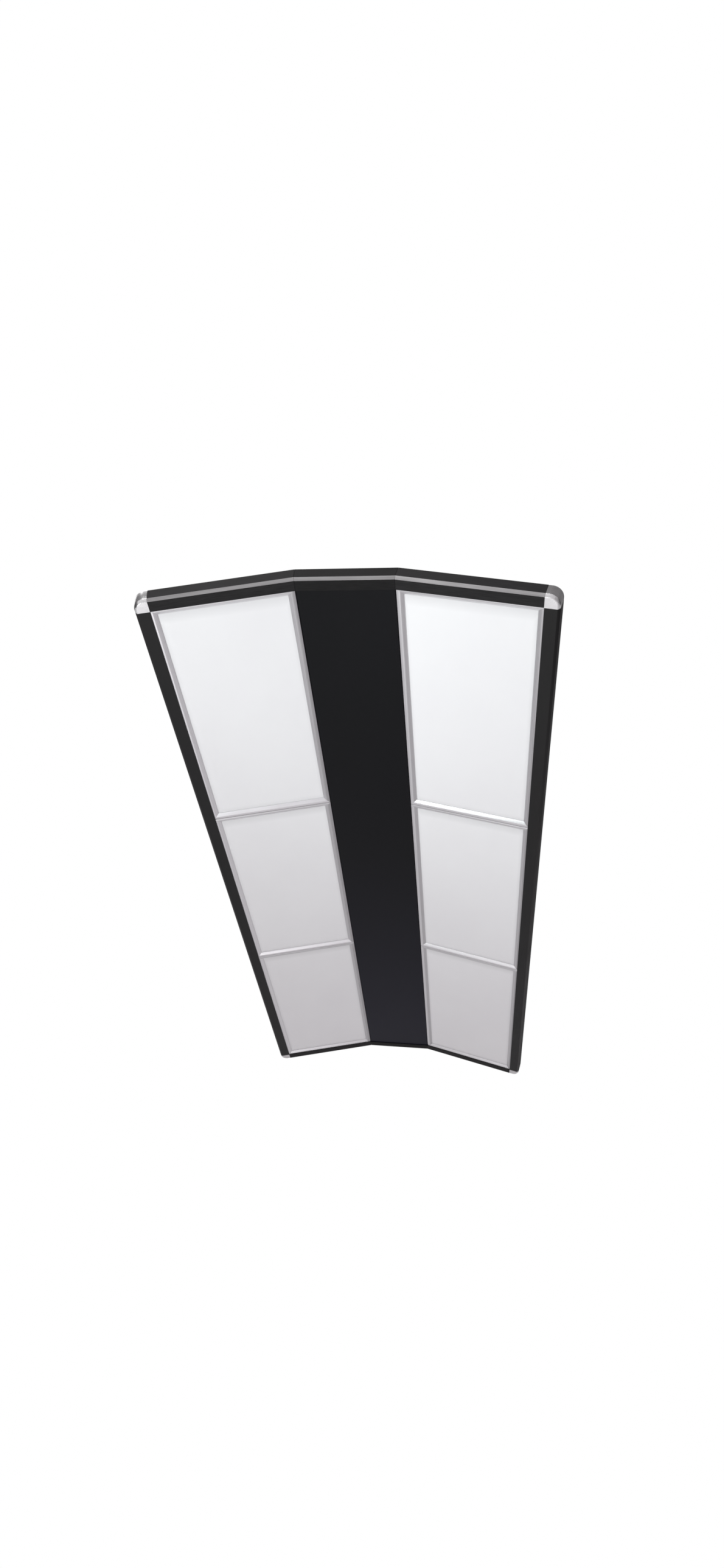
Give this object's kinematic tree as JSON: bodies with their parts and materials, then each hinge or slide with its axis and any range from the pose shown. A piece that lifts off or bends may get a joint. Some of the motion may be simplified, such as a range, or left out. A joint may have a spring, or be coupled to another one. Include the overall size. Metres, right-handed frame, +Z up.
{
  "type": "suspended panel light with folding wings",
  "caption": "Long roof-shaped panel light: a flat black spine with hinged wings of framed opal panels, black rails, bright corner caps and hanging rings.",
  "frame": {"origin": "centre of the spine's top cover, on its upper face, midway between the two hanging rings", "axes": "+Z up, +Y along the length away from the near end in the picture, X across the two wings"},
  "size_m": [0.8154, 1.8346, 0.1305],
  "materials": {
    "black_rail": "satin black anodised extrusion",
    "black_sheet": "fine-textured black powder coat on sheet",
    "bright_trim": "bright brushed strip",
    "corner_chrome": "bright plated casting",
    "panel_frame_silver": "satin silver anodised extrusion",
    "opal_diffuser": "satin opal sheet",
    "led_board_white": "white solder mask on a metal-core board",
    "panel_back_white": "white coil-coated sheet",
    "zinc_steel": "bright zinc plating",
    "driver_case": "plain satin sheet case",
    "black_nylon": "moulded nylon",
    "terminal_nylon": "moulded nylon"
  },
  "bodies": {
    "spine": {"spine_channel": "black_sheet", "spine_top_cover": "black_sheet", "spine_end_rail_near": "black_rail", "spine_end_rail_far": "black_rail", "spine_end_trim_near": "bright_trim", "spine_end_trim_far": "bright_trim", "cable_gland": "black_nylon", "driver_left": "driver_case", "driver_right": "driver_case", "terminal_block": "terminal_nylon", "hanger_bar_near": "zinc_steel", "hanger_bar_far": "zinc_steel", "hinge_leaf_spine_left": "zinc_steel", "hinge_leaf_spine_right": "zinc_steel", "hinge_pin_left": "zinc_steel", "hinge_pin_right": "zinc_steel"},
    "wing_left": {"hinge_leaf_wing_left": "zinc_steel", "left_side_rail": "black_rail", "left_inner_rail": "black_rail", "left_end_rail_near": "black_rail", "left_end_rail_far": "black_rail", "left_end_trim_near": "bright_trim", "left_end_trim_far": "bright_trim", "left_corner_cap_near": "corner_chrome", "left_corner_cap_far": "corner_chrome", "left_panel_frame_1": "panel_frame_silver", "left_panel_frame_2": "panel_frame_silver", "left_panel_frame_3": "panel_frame_silver", "left_diffuser_1": "opal_diffuser", "left_diffuser_2": "opal_diffuser", "left_diffuser_3": "opal_diffuser", "left_led_board_1": "led_board_white", "left_led_board_2": "led_board_white", "left_led_board_3": "led_board_white", "left_panel_back_1": "panel_back_white", "left_panel_back_2": "panel_back_white", "left_panel_back_3": "panel_back_white"},
    "wing_right": {"hinge_leaf_wing_right": "zinc_steel", "right_side_rail": "black_rail", "right_inner_rail": "black_rail", "right_end_rail_near": "black_rail", "right_end_rail_far": "black_rail", "right_end_trim_near": "bright_trim", "right_end_trim_far": "bright_trim", "right_corner_cap_near": "corner_chrome", "right_corner_cap_far": "corner_chrome", "right_panel_frame_1": "panel_frame_silver", "right_panel_frame_2": "panel_frame_silver", "right_panel_frame_3": "panel_frame_silver", "right_diffuser_1": "opal_diffuser", "right_diffuser_2": "opal_diffuser", "right_diffuser_3": "opal_diffuser", "right_led_board_1": "led_board_white", "right_led_board_2": "led_board_white", "right_led_board_3": "led_board_white", "right_panel_back_1": "panel_back_white", "right_panel_back_2": "panel_back_white", "right_panel_back_3": "panel_back_white"},
    "ring_near": {"d_ring_near": "zinc_steel"},
    "ring_far": {"d_ring_far": "zinc_steel"}
  },
  "joints": [
    {"name": "left_wing_fold", "type": "hinge", "parent": "spine", "child": "wing_left", "pos_m": [-0.1016, 0, 0.0015], "axis": [0, 1, 0], "range_deg": [0, 103.7]},
    {"name": "right_wing_fold", "type": "hinge", "parent": "spine", "child": "wing_right", "pos_m": [0.1016, 0, 0.0015], "axis": [0, -1, 0], "range_deg": [0, 103.7]},
    {"name": "ring_near_lift", "type": "hinge", "parent": "spine", "child": "ring_near", "pos_m": [0, -0.574, 0.0032], "axis": [1, 0, 0], "range_deg": [0, 100]},
    {"name": "ring_far_lift", "type": "hinge", "parent": "spine", "child": "ring_far", "pos_m": [0, 0.574, 0.0032], "axis": [-1, 0, 0], "range_deg": [0, 100]}
  ]
}
